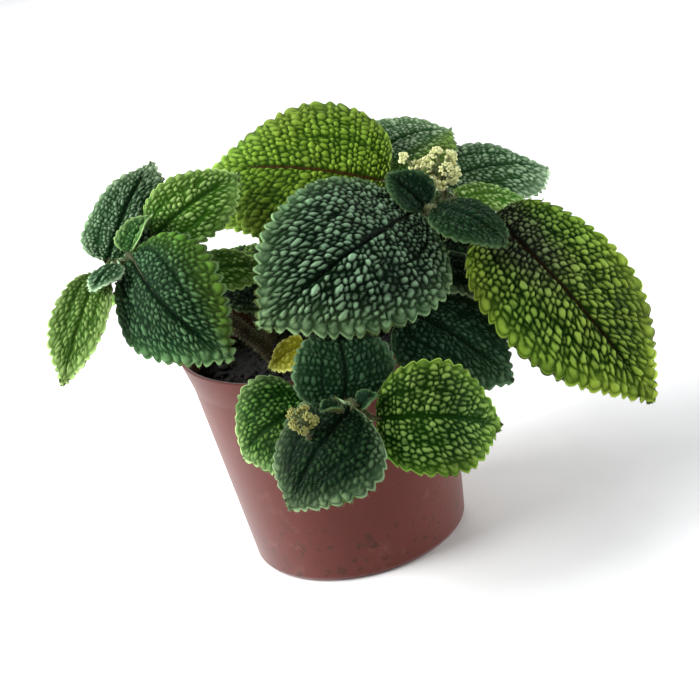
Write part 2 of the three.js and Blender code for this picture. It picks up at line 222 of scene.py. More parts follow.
def noise(p, scale, seed):
    """Smooth noise of -1 to 1 from a few waves in seeded directions."""
    local = np.random.default_rng(seed)
    total = np.zeros(p.shape[:-1])
    for octave in range(3):
        for _ in range(5):
            way = unit(local.normal(size=3))
            turn = local.uniform(0, TAU)
            total += np.sin(p @ way * TAU * 2**octave / scale + turn) / (5 * 1.6**octave)
    return total


def mesh_object(name, points, faces, material, node, smooth=True, masks=None):
    """A piece of the plant from points in mm and arrays of faces; it stands for a CAD node."""
    mesh = bpy.data.meshes.new(name)
    mesh.vertices.add(len(points))
    mesh.vertices.foreach_set("co", (np.asarray(points) * MM).astype(np.float32).ravel())
    faces = [np.asarray(f, dtype=np.int32) for f in faces]
    count = sum(len(f) for f in faces)
    mesh.loops.add(sum(f.size for f in faces))
    mesh.loops.foreach_set("vertex_index", np.concatenate([f.ravel() for f in faces]))
    mesh.polygons.add(count)
    sizes = np.concatenate([np.full(len(f), f.shape[1]) for f in faces])
    starts = np.concatenate([[0], np.cumsum(sizes)[:-1]])
    mesh.polygons.foreach_set("loop_start", starts.astype(np.int32))
    mesh.update(calc_edges=True)
    mesh.polygons.foreach_set("use_smooth", np.full(count, smooth))
    for key, values in (masks or {}).items():
        layer = mesh.attributes.new(key, "FLOAT", "POINT")
        layer.data.foreach_set("value", np.asarray(values, dtype=np.float32))
    mesh.validate()
    piece = bpy.data.objects.new(name, mesh)
    bpy.context.scene.collection.objects.link(piece)
    mesh.materials.append(material)
    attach(piece, "root")
    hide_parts(node)
    return piece


# --- the blade of a leaf ---
def fullness(length):
    return min(1, length / FULL_LENGTH)


def frame_of(leaf):
    """The foot of the blade, three directions (along it, out of its face, across) and its length."""
    base = np.array(leaf["base"], float)
    along = np.array(leaf["tip"], float) - base
    length = np.linalg.norm(along)
    along = along / length
    face = np.array([0.0, 1.0, 0.0]) if abs(along[2]) > 0.98 else np.array([0.0, 0.0, 1.0])
    face = unit(face - along * face.dot(along))
    turn = math.radians(leaf["roll"])
    face = (
        face * math.cos(turn)
        + np.cross(along, face) * math.sin(turn)
        + along * along.dot(face) * (1 - math.cos(turn))
    )
    side = np.cross(along, face)
    return base, along, face, side, length


def bent(leaf, axes, x, y):
    """Where a spot of the flat blade goes when the leaf bends."""
    base, along, face, side, length = axes
    half = leaf["wide"] / 2
    t = y / length
    a = np.abs(x) / half
    sway = leaf["sway"] * 4 * t * (1 - t)
    z = (
        leaf["arch"] * np.sin(math.pi * np.clip(t, 0, 1))
        - leaf["cup"] * a * a
        + leaf["fold"] * a
    )
    return base + (x + sway)[..., None] * side + y[..., None] * along + z[..., None] * face


def outline(leaf, length, s):
    """Where the margin runs, and where its lines leave the midrib, from foot to tip."""
    half = leaf["wide"] / 2
    bulge = 1 + 0.26 * np.cos(math.pi * s)
    margin_x = half * bulge * np.sin(math.pi * s) ** (0.75 + 0.3 * s) * 0.96
    point = 0.7 * smoothstep(s, 0.35, 1)
    margin_y = length * ((1 - point) * (0.5 - 0.5 * np.cos(math.pi * s)) + point * s)
    midrib_y = length * s**1.55
    return margin_x, margin_y, midrib_y


def domes(row, column, cells, slant, plump):
    """Height 0 in the valleys to 1 on the puffs, between seeded points of a bent lattice."""
    rows, columns = cells.shape[:2]
    i0 = np.floor(row).astype(int)
    best = np.full(row.shape, 9.0)
    second = np.full(row.shape, 9.0)
    lift = np.ones(row.shape)
    for di in (-1, 0, 1):
        i = np.clip(i0 + di, 0, rows - 1)
        shifted = column - slant * (i % 2)
        j0 = np.floor(shifted).astype(int)
        for dj in (-1, 0, 1):
            j = j0 + dj
            jc = np.clip(j + 1, 0, columns - 1)
            jitter = cells[i, jc]
            di_row = row - (i0 + di + 0.5 + jitter[..., 0])
            dj_col = shifted - (j + 0.5 + jitter[..., 1])
            gap = np.sqrt(di_row**2 + dj_col**2)
            closer = gap < best
            second = np.where(closer, best, np.minimum(second, gap))
            lift = np.where(closer, jitter[..., 2], lift)
            best = np.where(closer, gap, best)
    rise = np.clip((second - best) / (0.95 - 0.4 * plump), 0, 1)
    return rise ** (0.85 - 0.2 * plump) * lift


def blade(leaf, seed):
    """Grids of points of the upper and lower faces, normals, and masks for the colours."""
    local = np.random.default_rng(seed)
    axes = frame_of(leaf)
    length = axes[4]
    half = leaf["wide"] / 2
    size = fullness(length)
    teeth = int(round(6 + length / TOOTH_PITCH))
    step = GRID_STEP * (0.72 + 0.28 * size)
    lines = 2 * int(0.575 * length / step) + 1
    across = 2 * max(4, int(round(half / step / 2)))
    s = np.linspace(0.006, 0.995, lines)
    v = np.linspace(-1, 1, 2 * across + 1)
    # the lines of the grid lie closer towards the margin
    v = np.sign(v) * (1 - (1 - np.abs(v)) ** 1.12)
    S, V = np.meshgrid(s, v, indexing="ij")
    right = V > 0
    reach = np.abs(V)
    margin_x, margin_y, midrib_y = outline(leaf, length, S)
    row = S * teeth + np.where(right, 0.0, 0.4)
    row = row + 0.12 * np.sin(3.1 * row + seed)
    notch = np.abs(np.sin(math.pi * row)) ** 0.7
    bite = min(1.25, 0.018 * length + 0.25)
    ends = np.clip(np.minimum(S, 1 - S) / 0.03, 0, 1)
    rim = smoothstep(reach, 0.8, 1)
    tooth = bite * (1.6 * notch - 1.0) * rim * ends
    x = np.sign(V) * (margin_x + tooth) * reach
    y = midrib_y + (margin_y + 0.5 * tooth - midrib_y) * reach**1.2
    # a slow, seeded irregularity of the outline
    wobble = local.uniform(0, TAU, 4)
    swell = 1 + 0.025 * np.sin(7 * S + wobble[0] + right) + 0.02 * np.sin(13 * S + wobble[1])
    x = x * (1 + (swell - 1) * reach**2)
    surface = bent(leaf, axes, x, y)
    ripple = 0.5 * reach**3 * np.sin(TAU * 2.2 * S + wobble[2] + 2 * right) * min(1, half / 15)
    ds = np.gradient(surface, axis=0)
    dv = np.gradient(surface, axis=1)
    out = unit(np.cross(dv, ds))
    out[:, across] = unit(out[:, across - 1] + out[:, across + 1])
    # small puffs between the sunk veins, and long ones that run out into the teeth
    pitch = (PUFF_PITCH + PUFF_PITCH_GAIN * size) * leaf["grain"]
    crowd = length / teeth / pitch * 1.12
    columns = int(margin_x.max() / pitch) + 6
    cells = np.empty((int(teeth * crowd) + 4, columns, 2, 3))
    cells[..., 0] = local.uniform(-0.2, 0.2, cells.shape[:3])
    cells[..., 1] = local.uniform(-0.36, 0.36, cells.shape[:3])
    cells[..., 2] = local.uniform(0.55, 1.15, cells.shape[:3])
    away = np.abs(x)
    inner_row = row * crowd + 0.22 * noise(surface, 5.0, seed + 1)
    column = away / pitch + 0.22 * noise(surface, 5.0, seed + 2)
    plump = leaf["plump"]
    puff = np.where(
        right,
        domes(inner_row, column, cells[:, :, 0], 0.5, plump),
        domes(inner_row, column, cells[:, :, 1], 0.5, plump),
    )
    beat = cells[np.clip(row.astype(int), 0, len(cells) - 1), 1, 0, 2]
    to_margin = (1 - reach) * margin_x
    scallop = np.abs(np.sin(math.pi * row)) ** 0.6 * (0.6 + 0.3 * beat)
    scallop = scallop * (0.82 + 0.18 * np.cos(TAU * to_margin / (1.9 * pitch) + beat * 9))
    fringe = 0.45 + 0.55 * size
    from_margin = to_margin + 0.8 * noise(surface, 9.0, seed + 3)
    outer = 1 - smoothstep(from_margin, 1.3 * fringe, 3.2 * fringe)
    puff = puff * (1 - outer) + scallop * outer
    midrib = np.exp(-((away / 0.8) ** 2)) * smoothstep(1 - S, 0.02, 0.25)
    lateral = np.exp(-(((reach - 0.46) * margin_x / 0.7) ** 2)) * smoothstep(0.8 - S, 0, 0.3)
    flat = smoothstep(to_margin, 0.1, 1.3)
    height = PUFF_HEIGHT + PUFF_HEIGHT_GAIN * size
    puff = puff * flat * (1 - 0.85 * midrib) * (1 - 0.5 * lateral)
    lift = height * (puff - 0.35 * flat) - 0.7 * height * midrib - 0.3 * height * lateral
    lift = lift + ripple - 0.5 * (1 - smoothstep(to_margin, 0.0, 1.0)) * height
    fine = FINE_GRAIN * noise(surface, 1.7, seed)
    top = surface + out * (lift + fine)[..., None]
    thick = BLADE_THICK * (0.45 + 0.55 * smoothstep(to_margin, 0, 2.0)) + 0.35 * midrib
    under = surface + out * (lift * 0.55 - thick)[..., None]
    masks = {
        "puff": np.clip(puff, 0, 1.2),
        "edge": np.clip(1 - to_margin / 2.2, 0, 1),
        "outer": np.clip(1 - to_margin / (0.42 * half), 0, 1),
        "vein": np.clip(midrib + 0.5 * lateral * (1 - puff), 0, 1),
        "heart": np.exp(-(((reach * margin_x) / (0.5 * half)) ** 2)) * smoothstep(1 - S, 0.15, 0.75),
        # the side of the leaf that gets the band of painted light
        "side": smoothstep(V * leaf["lit"], 0.25, 0.75),
    }
    return top, under, out, masks


def border(grid):
    """The indices round the edge of a grid, in order."""
    return np.concatenate([grid[0, :-1], grid[:-1, -1], grid[-1, :0:-1], grid[:0:-1, 0]])


def quads_of(grid):
    corners = (grid[:-1, :-1], grid[:-1, 1:], grid[1:, 1:], grid[1:, :-1])
    return np.stack([corner.ravel() for corner in corners], 1)


def blade_mesh(top, under, masks):
    """One closed body: the lower face has a line of points to every second line above."""
    under = under[::2, ::2]
    count = top.shape[0] * top.shape[1]
    above = np.arange(count).reshape(top.shape[:2])
    below = count + np.arange(under.shape[0] * under.shape[1]).reshape(under.shape[:2])
    quads = np.concatenate([quads_of(above), quads_of(below)[:, ::-1]])
    rim, low = border(above), border(below)
    here, half_way, ahead = rim[::2], rim[1::2], np.roll(rim[::2], -1)
    low_ahead = np.roll(low, -1)
    band = np.concatenate(
        [
            np.stack([here, low, half_way], 1),
            np.stack([half_way, low, low_ahead], 1),
            np.stack([half_way, low_ahead, ahead], 1),
        ]
    )
    points = np.concatenate([top.reshape(-1, 3), under.reshape(-1, 3)])
    spread = {key: np.concatenate([m.ravel(), m[::2, ::2].ravel()]) for key, m in masks.items()}
    spread["under"] = np.concatenate([np.zeros(count), np.ones(len(points) - count)])
    return points, (quads, band), spread


# --- materials ---
COLOR_A, COLOR_B, COLOR_RESULT = 6, 7, 2  # the colour sockets of a Mix node


def tone(r, g, b):
    """A colour given as it looks on a screen, 0 to 255, as linear light."""
    shares = [c / 255 for c in (r, g, b)]
    return (*[v / 12.92 if v < 10 / 255 else ((v + 0.055) / 1.055) ** 2.4 for v in shares], 1.0)


class Look:
    """Small helper that wires a procedural material."""

    def __init__(self, name):
        self.material = bpy.data.materials.new(name)
        self.material.use_nodes = True
        self.tree = self.material.node_tree
        self.shader = self.tree.nodes["Principled BSDF"]

    def put(self, socket, value):
        if isinstance(value, bpy.types.NodeSocket):
            self.tree.links.new(value, socket)
        else:
            socket.default_value = value

    def mask(self, key):
        made = self.tree.nodes.new("ShaderNodeAttribute")
        made.attribute_name = key
        return made.outputs["Fac"]

    def spot(self):
        return self.tree.nodes.new("ShaderNodeTexCoord").outputs["Object"]

    def noise(self, scale, detail=2.0, rough=0.5):
        made = self.tree.nodes.new("ShaderNodeTexNoise")
        self.tree.links.new(self.spot(), made.inputs["Vector"])
        made.inputs["Scale"].default_value = scale
        made.inputs["Detail"].default_value = detail
        made.inputs["Roughness"].default_value = rough
        return made.outputs["Fac"]

    def ramp(self, value, low, high, to_low=0.0, to_high=1.0):
        made = self.tree.nodes.new("ShaderNodeMapRange")
        made.interpolation_type = "SMOOTHSTEP"
        given = {"Value": value, "From Min": low, "From Max": high, "To Min": to_low, "To Max": to_high}
        for key, v in given.items():
            self.put(made.inputs[key], v)
        return made.outputs["Result"]

    def math(self, kind, a, b):
        made = self.tree.nodes.new("ShaderNodeMath")
        made.operation = kind
        self.put(made.inputs[0], a)
        self.put(made.inputs[1], b)
        return made.outputs[0]

    def mix(self, share, a, b):
        made = self.tree.nodes.new("ShaderNodeMix")
        made.data_type = "RGBA"
        self.put(made.inputs[0], share)
        self.put(made.inputs[COLOR_A], a)
        self.put(made.inputs[COLOR_B], b)
        return made.outputs[COLOR_RESULT]

    def bump(self, height, depth, strength=0.6):
        made = self.tree.nodes.new("ShaderNodeBump")
        made.inputs["Strength"].default_value = strength
        made.inputs["Distance"].default_value = depth
        self.tree.links.new(height, made.inputs["Height"])
        self.tree.links.new(made.outputs["Normal"], self.shader.inputs["Normal"])

    def finish(self, color, roughness, **fixed):
        self.put(self.shader.inputs["Base Color"], color)
        self.put(self.shader.inputs["Roughness"], roughness)
        for key, value in fixed.items():
            self.shader.inputs[key.replace("_", " ")].default_value = value
        return self.material


UNDERSIDE = (112, 134, 62)
PUFF_SPAN = (0.18, 0.95)  # the heights over which a valley's colour turns into a puff's


def faded(color, share):
    return tone(*[c * share for c in color])


def leaf_look(name, valley, hill, margin, rib, heart=None, band=None, under=UNDERSIDE, span=PUFF_SPAN):
    """Dark valleys, paler puffs, a pale margin; heart darkens the middle and band paints light on one side.
    """
    look = Look(name)
    grain = look.noise(900, 3)
    broad = look.noise(45, 2)
    puff = look.mask("puff")
    level = look.math("ADD", puff, look.math("MULTIPLY", look.math("SUBTRACT", grain, 0.5), 0.35))
    height = look.ramp(level, *span)
    # Valley and puff colours: partly the leaf's own dark veins and green puffs, partly painted shade in the
    # valleys and painted highlight on the puff tops.
    color = look.mix(height, tone(*valley), tone(*hill))
    brim = look.mix(height, tone(*[0.55 * a + 0.45 * c for a, c in zip(valley, margin)]), tone(*margin))
    color = look.mix(look.ramp(look.mask("outer"), 0.2, 1.0, 0.0, 0.8), color, brim)
    # band: a yellower colour that paints light on one side of the leaf
    if band:
        lit = look.mix(height, faded(band, 0.55), tone(*band))
        color = look.mix(look.math("MULTIPLY", look.mask("side"), 0.85), color, lit)
    if heart:
        inner = look.mix(look.ramp(level, 0.3, 1.0), faded(heart, 0.22), tone(*heart))
        color = look.mix(look.ramp(look.mask("heart"), 0.15, 0.9, 0.0, 0.95), color, inner)
    rim = tone(*[min(255, c * 1.18 + 18) for c in margin])
    color = look.mix(look.ramp(look.mask("edge"), 0.62, 1.0, 0.0, 0.75), color, rim)
    color = look.mix(look.ramp(look.mask("vein"), 0.35, 0.95, 0.0, 0.85), color, tone(*rib))
    below = look.mix(look.ramp(level, 0.1, 0.8), faded(under, 0.66), tone(*under))
    color = look.mix(look.mask("under"), color, below)
    vary = look.tree.nodes.new("ShaderNodeHueSaturation")
    look.put(vary.inputs["Color"], color)
    look.put(vary.inputs["Value"], look.ramp(broad, 0.3, 0.7, 0.8, 1.2))
    look.put(vary.inputs["Hue"], look.ramp(look.noise(30, 1), 0.3, 0.7, 0.49, 0.51))
    look.bump(look.noise(1500, 2), 0.0003, 0.6)
    rough = look.math("SUBTRACT", look.ramp(grain, 0.3, 0.7, 0.62, 0.78), look.math("MULTIPLY", puff, 0.3))
    return look.finish(vary.outputs["Color"], rough, Specular_IOR_Level=0.05)


# Each leaf colour: valley (own dark vein colour with painted shade), puff (own green with painted
# highlight), margin and main veins, 0 to 255.
LEAF_TONES = {
    "dark": ((1, 20, 3), (124, 156, 122), (108, 140, 92), (4, 14, 6)),
    "blue": ((10, 38, 14), (88, 126, 84), (88, 122, 72), (8, 28, 12)),
    "grey": ((16, 50, 16), (130, 160, 124), (144, 168, 132), (16, 40, 18)),
    # This leaf: its own dark green painted pale, with a yellow band, as painted light from behind.
    "pale_painted_backlight": ((32, 74, 32), (166, 192, 154), (122, 150, 104), (16, 40, 18)),
    "smooth": ((8, 32, 14), (38, 66, 40), (50, 78, 44), (8, 26, 12)),
    # A copy of the smooth colours painted lighter, as painted light for leaves lying in shade.
    "smooth_painted_light": ((12, 38, 18), (52, 82, 56), (70, 98, 66), (12, 32, 16)),
    "deep": ((3, 22, 6), (32, 58, 30), (112, 136, 96), (6, 22, 8)),
    "bronze": ((14, 42, 0), (128, 160, 62), (138, 166, 52), (40, 28, 12)),
    "lime": ((32, 60, 0), (116, 146, 42), (130, 160, 62), (60, 34, 16)),
    "bright": ((12, 48, 0), (126, 160, 78), (116, 152, 50), (20, 58, 6)),
    "pale": ((36, 62, 6), (114, 138, 72), (136, 158, 92), (52, 74, 22)),
    "green": ((18, 54, 4), (112, 146, 74), (130, 166, 80), (24, 56, 12)),
    "fresh": ((46, 86, 14), (154, 190, 106), (142, 176, 96), (40, 76, 20)),
    # A copy of the fresh colours painted lighter, as painted light for a leaf lying in shade.
    "fresh_painted_light": ((54, 98, 18), (176, 210, 126), (162, 194, 112), (54, 92, 26)),
    "silver": ((22, 58, 22), (140, 170, 132), (158, 180, 146), (16, 40, 18)),
    "side": ((10, 42, 0), (92, 132, 58), (138, 164, 104), (18, 46, 8)),
    "yellow": ((128, 128, 20), (206, 204, 92), (214, 212, 108), (110, 104, 24)),
    "young": ((24, 56, 18), (88, 124, 64), (116, 144, 84), (44, 66, 30)),
}
LEAF_EXTRAS = {
    "blue": {"band": (96, 142, 32)},
    "pale_painted_backlight": {"band": (120, 164, 56)},
    "bronze": {"heart": (96, 114, 76), "span": (0.16, 0.9)},
    "lime": {"span": (0.12, 0.85)},
    "young": {"under": (92, 124, 66)},
}
LEAF_LOOKS = {
    key: leaf_look(f"leaf_{key}", *tones, **LEAF_EXTRAS.get(key, {}))
    for key, tones in LEAF_TONES.items()
}


def stalk_look():
    look = Look("stalk")
    grain = look.noise(700, 3)
    patch = look.noise(70, 3)
    green = look.mix(look.ramp(patch, 0.35, 0.65), tone(52, 64, 34), tone(78, 90, 52))
    brown = look.mix(look.ramp(patch, 0.35, 0.65), tone(62, 54, 40), tone(96, 86, 64))
    color = look.mix(look.math("MULTIPLY", look.mask("part"), 0.6), brown, green)
    look.bump(grain, 0.0003, 0.6)
    return look.finish(color, look.ramp(grain, 0.3, 0.7, 0.55, 0.8), Specular_IOR_Level=0.15)


def hair_look():
    look = Look("hair")
    patch = look.noise(200, 2)
    color = look.mix(look.ramp(patch, 0.3, 0.7), tone(96, 116, 70), tone(140, 156, 112))
    look.bump(look.noise(3000, 1), 0.00002, 0.3)
    return look.finish(color, look.ramp(patch, 0.3, 0.7, 0.4, 0.6))


def soil_look():
    look = Look("soil")
    grain = look.noise(900, 4, 0.6)
    patch = look.noise(160, 4, 0.6)
    color = look.mix(look.ramp(patch, 0.35, 0.7), tone(10, 10, 11), tone(30, 26, 24))
    color = look.mix(look.math("MULTIPLY", look.mask("part"), 0.5), color, tone(76, 58, 42))
    look.bump(grain, 0.0006, 0.9)
    return look.finish(color, look.ramp(grain, 0.3, 0.7, 0.85, 1.0))


def pot_look():
    look = Look("pot_plastic")
    broad = look.noise(24, 3)
    grain = look.noise(2200, 2)
    color = look.mix(look.ramp(broad, 0.3, 0.7), tone(86, 35, 28), tone(96, 43, 35))
    specks = look.ramp(look.noise(330, 3, 0.7), 0.57, 0.63)
    place = look.tree.nodes.new("ShaderNodeSeparateXYZ")
    look.tree.links.new(look.spot(), place.inputs[0])
    low = look.ramp(place.outputs["Z"], 0.006, 0.03, 1.0, 0.0)
    dirt = look.math("MULTIPLY", look.math("MULTIPLY", specks, low), 0.85)
    color = look.mix(dirt, color, tone(62, 34, 22))
    dust = look.ramp(look.noise(110, 4, 0.65), 0.55, 0.8, 0.0, 0.22)
    color = look.mix(dust, color, tone(150, 110, 98))
    look.bump(grain, 0.00006, 0.35)
    rough = look.ramp(broad, 0.3, 0.7, 0.45, 0.55)
    return look.finish(
        color, rough, Specular_IOR_Level=0.13, Sheen_Weight=0.3, Sheen_Roughness=0.45
    )


def flower_look(name, petal, bud, green):
    look = Look(name)
    patch = look.noise(500, 2)
    part = look.mask("part")
    color = look.mix(look.ramp(part, 0.05, 0.6), tone(*petal), tone(*bud))
    color = look.mix(look.ramp(part, 0.62, 0.9), color, tone(*green))
    color = look.mix(look.ramp(patch, 0.35, 0.7, 0.0, 0.3), color, faded(bud, 0.8))
    look.bump(patch, 0.0002, 0.5)
    return look.finish(color, look.ramp(patch, 0.3, 0.7, 0.5, 0.7))


STALK_LOOK = stalk_look()
HAIR_LOOK = hair_look()
SOIL_LOOK = soil_look()
POT_LOOK = pot_look()
FLOWER_LOOKS = {
    "cream": flower_look("flower_cream", (222, 224, 164), (186, 188, 104), (62, 80, 30)),
    "yellow": flower_look("flower_yellow_green", (138, 138, 66), (112, 116, 46), (66, 80, 30)),
}


# --- stems, stalks and hairs ---
def curve_points(path, steps):
    """The centripetal curve through the points that the solids follow too, evenly spaced."""
    p = np.array(path, float)
    p = np.vstack([2 * p[0] - p[1], p, 2 * p[-1] - p[-2]])
    spots = []
    for i in range(1, len(p) - 2):
        gaps = [max(np.sum((p[i + k] - p[i + k - 1]) ** 2) ** 0.25, 1e-4) for k in (0, 1, 2)]
        first = (p[i] - p[i - 1]) / gaps[0] - (p[i + 1] - p[i - 1]) / (gaps[0] + gaps[1])
        first = (first + (p[i + 1] - p[i]) / gaps[1]) * gaps[1]
        last = (p[i + 1] - p[i]) / gaps[1] - (p[i + 2] - p[i]) / (gaps[1] + gaps[2])
        last = (last + (p[i + 2] - p[i + 1]) / gaps[2]) * gaps[1]
        t = np.linspace(0, 1, 24, endpoint=False)[:, None]
        c2 = 3 * (p[i + 1] - p[i]) - 2 * first - last
        c3 = 2 * (p[i] - p[i + 1]) + first + last
        spots.append(p[i] + first * t + c2 * t * t + c3 * t**3)
    spots = np.vstack([*spots, p[-2]])
    return resample(spots, steps)


def resample(spots, steps):
    run = np.concatenate([[0], np.cumsum(np.linalg.norm(np.diff(spots, axis=0), axis=1))])
    even = np.linspace(0, run[-1], steps)
    return np.stack([np.interp(even, run, spots[:, k]) for k in range(3)], 1)


def closed_rings(rings, first, last):
    """A closed body from rings of points, with a fan to a point at either end."""
    rows, sides = rings.shape[:2]
    grid = np.arange(rows * sides).reshape(rows, sides)
    nxt = np.roll(grid, -1, 1)
    quads = np.stack([grid[:-1], nxt[:-1], nxt[1:], grid[1:]], -1).reshape(-1, 4)
    points = np.concatenate([rings.reshape(-1, 3), [first, last]])
    low, high = rows * sides, rows * sides + 1
    caps = np.concatenate(
        [
            np.stack([nxt[0], grid[0], np.full(sides, low)], 1),
            np.stack([grid[-1], nxt[-1], np.full(sides, high)], 1),
        ]
    )
    return points, quads, caps


def tube(spots, radii, sides, seed):
    """A closed tube of round section, with its surface normals."""
    ways = unit(np.gradient(spots, axis=0))
    guide = np.array([0.3, 0.8, 0.5])
    across = unit(guide - ways[0] * guide.dot(ways[0]))
    frames = []
    for way in ways:
        across = unit(across - way * across.dot(way))
        frames.append((across, np.cross(way, across)))
    turn = np.arange(sides) / sides * TAU
    normals = np.array(
        [np.outer(np.cos(turn), a) + np.outer(np.sin(turn), b) for a, b in frames]
    )
    lumps = 1 + 0.05 * noise(spots[:, None, :] + 2 * normals, 5, seed)
    ring = spots[:, None, :] + normals * (np.asarray(radii)[:, None] * lumps)[..., None]
    points, quads, caps = closed_rings(ring, spots[0], spots[-1])
    return points, quads, caps, ring.reshape(-1, 3), normals.reshape(-1, 3)


class Heap:
    """Several closed bodies gathered into one mesh."""

    def __init__(self):
        self.points, self.quads, self.caps, self.count = [], [], [], 0
        self.masks = []

    def add(self, points, caps, quads=None, mask=0.0):
        if quads is not None:
            self.quads.append(quads + self.count)
        self.caps.append(caps + self.count)
        self.points.append(points)
        self.masks.append(np.full(len(points), mask))
        self.count += len(points)

    def make(self, name, material, node, slot, smooth=True):
        faces = [np.concatenate(f) for f in (self.quads, self.caps) if f]
        masks = {"part": np.concatenate(self.masks)}
        mesh_object(name, np.concatenate(self.points), faces, material, node, smooth, masks)


def hairs(heap, roots, ways, lengths, radius=0.055):
    """Each hair is a long thin tetrahedron with its foot just under the surface."""
    ways = unit(ways)
    guide = np.where(np.abs(ways[:, 2:]) > 0.9, [[1.0, 0, 0]], [[0, 0, 1.0]])
    a = unit(np.cross(ways, guide))
    b = np.cross(ways, a)
    foot = roots - ways * 0.12
    corners = [
        foot + radius * (math.cos(k * TAU / 3) * a + math.sin(k * TAU / 3) * b) for k in range(3)
    ]
    tips = roots + ways * lengths[:, None]
    points = np.stack([*corners, tips], 1).reshape(-1, 3)
    first = (4 * np.arange(len(roots)))[:, None, None]
    pattern = np.array([[0, 1, 3], [1, 2, 3], [2, 0, 3], [0, 2, 1]])
    heap.add(points, (first + pattern).reshape(-1, 3))


def fuzz(heap, points, normals, count, long, local):
    pick = local.integers(0, len(points), count)
    ways = normals[pick] + local.normal(0, 0.35, (count, 3))
    hairs(heap, points[pick], ways, local.uniform(0.5, 1.0, count) * long)


def stalk_line(leaf, start):
    """From the stem to the foot of the leaf, and on under its midrib to near the tip."""
    axes = frame_of(leaf)
    base, along, face, _, length = axes
    near = base - face * 0.95 - along * 0.02 * length
    middle = (start + near) / 2
    middle[2] += 0.08 * np.linalg.norm(near - start)
    y = np.linspace(0.05, 0.8, 9) * length
    sunk = 1.0 + 0.9 * (PUFF_HEIGHT + PUFF_HEIGHT_GAIN * fullness(length))
    rib = bent(leaf, axes, np.zeros(9), y) - face * np.linspace(sunk, 0.75 * sunk, 9)[:, None]
    free = curve_points([start, middle, near], 14)
    return free, rib


def grow(spec, index):
    """A stem with its stalks as one piece, each blade as one, and all their hairs as one."""
    stalks, fur = Heap(), Heap()
    local = np.random.default_rng(900 + index)
    path = curve_points(spec["path"], 60)
    share = np.linspace(0, 1, len(path))
    radii = spec["radius"] * (1 - 0.22 * share**2)
    for leaf in spec["leaves"]:
        at = min(leaf["at"], ALONG_STEM_MAX)
        radii = radii * (1 + 0.08 * np.exp(-(((share - at) / 0.03) ** 2)))
    points, quads, caps, skin, out = tube(path, radii, STEM_SIDES, index)
    stalks.add(points, caps, quads, 0.0)
    above = skin[:, 2] > SOIL_TOP + 1
    run = np.linalg.norm(np.diff(path, axis=0), axis=1).sum()
    fuzz(fur, skin[above], out[above], int(STEM_HAIRS * run), STEM_HAIR, local)
    line = curve_points(spec["path"], 400)
    name = spec["name"].replace("leafy_stem_", "")
    for number, leaf in enumerate(spec["leaves"]):
        start = line[int(min(leaf["at"], ALONG_STEM_MAX) * (len(line) - 1))]
        free, rib = stalk_line(leaf, start)
        length = frame_of(leaf)[4]
        thick = STALK_R if length > LARGE_LEAF else SMALL_STALK_R
        if length < TINY_LEAF:
            thick = TINY_STALK_R
        spots = np.vstack([free, rib])
        radii = np.concatenate(
            [np.linspace(1.0, 0.85, len(free)), np.linspace(0.62, 0.2, len(rib))]
        ) * thick
        points, quads, caps, skin, out = tube(spots, radii, STALK_SIDES, 50 * index + number)
        stalks.add(points, caps, quads, 1.0)
        span = np.linalg.norm(np.diff(free, axis=0), axis=1).sum()
        on_stalk = np.arange(len(skin)) < STALK_SIDES * len(free)
        fuzz(fur, skin[on_stalk], out[on_stalk], int(STALK_HAIRS * span), STALK_HAIR, local)
        fuzz(fur, skin[~on_stalk], out[~on_stalk], int(RIB_HAIRS * length), RIB_HAIR, local)
        top, under, normal, masks = blade(leaf, 1000 + 40 * index + number)
        points, faces, spread = blade_mesh(top, under, masks)
        mesh_object(
            f"leaf_{name}_{number + 1}", points, faces,
            LEAF_LOOKS[leaf["look"]], spec["name"], masks=spread,
        )
        # hairs on the puffs and along the margin
        flat_top, flat_out = top.reshape(-1, 3), normal.reshape(-1, 3)
        weight = masks["puff"].ravel() + 0.15
        weight[masks["edge"].ravel() > 0.9] *= 0.3
        count = int(length * leaf["wide"] * FACE_HAIRS)
        pick = local.choice(len(flat_top), count, p=weight / weight.sum())
        tipward = np.gradient(top, axis=0).reshape(-1, 3)
        ways = flat_out[pick] + 0.7 * unit(tipward[pick]) + local.normal(0, 0.3, (count, 3))
        hairs(fur, flat_top[pick], ways, local.uniform(0.45, 0.95, count), 0.04)
        for column in (0, -1):
            rim = (top[:, column] + under[:, column]) / 2
            away = unit(rim - top[:, column // 2 + (3 if column == 0 else -3)])
            pick = local.integers(0, len(rim), int(MARGIN_HAIRS * length))
            ways = away[pick] + local.normal(0, 0.4, (len(pick), 3))
            hairs(fur, rim[pick], ways, local.uniform(0.4, 0.9, len(pick)), 0.045)
    if "flower_stalk" in spec:
        head = next(h for h in HEADS if h["on"] == spec["name"])
        seat = np.array(head["at"], float)
        seat[2] -= 0.25 * head["radius"]
        spots = curve_points([*spec["flower_stalk"], seat], 30)
        radii = np.linspace(0.95, 0.75, len(spots))
        points, quads, caps, skin, out = tube(spots, radii, STALK_SIDES, index)
        stalks.add(points, caps, quads, 0.6)
        fuzz(fur, skin, out, FLOWER_STALK_HAIRS, FLOWER_STALK_HAIR, local)
    stalks.make(f"stalks_{name}", STALK_LOOK, spec["name"], spec["slot"])
    fur.make(f"hairs_{name}", HAIR_LOOK, spec["name"], spec["slot"], smooth=False)


# --- flower heads ---
def ball(detail):
    """The points and triangles of a ball of radius 1."""
    shape = bmesh.new()
    bmesh.ops.create_icosphere(shape, subdivisions=detail, radius=1)
    points = np.array([v.co[:] for v in shape.verts])
    faces = np.array([[v.index for v in f.verts] for f in shape.faces])
    shape.free()
    return points, faces


def turned(way):
    """Rotation that takes +Z to a direction."""
    return np.array(Vector((0, 0, 1)).rotation_difference(Vector(way)).to_matrix())


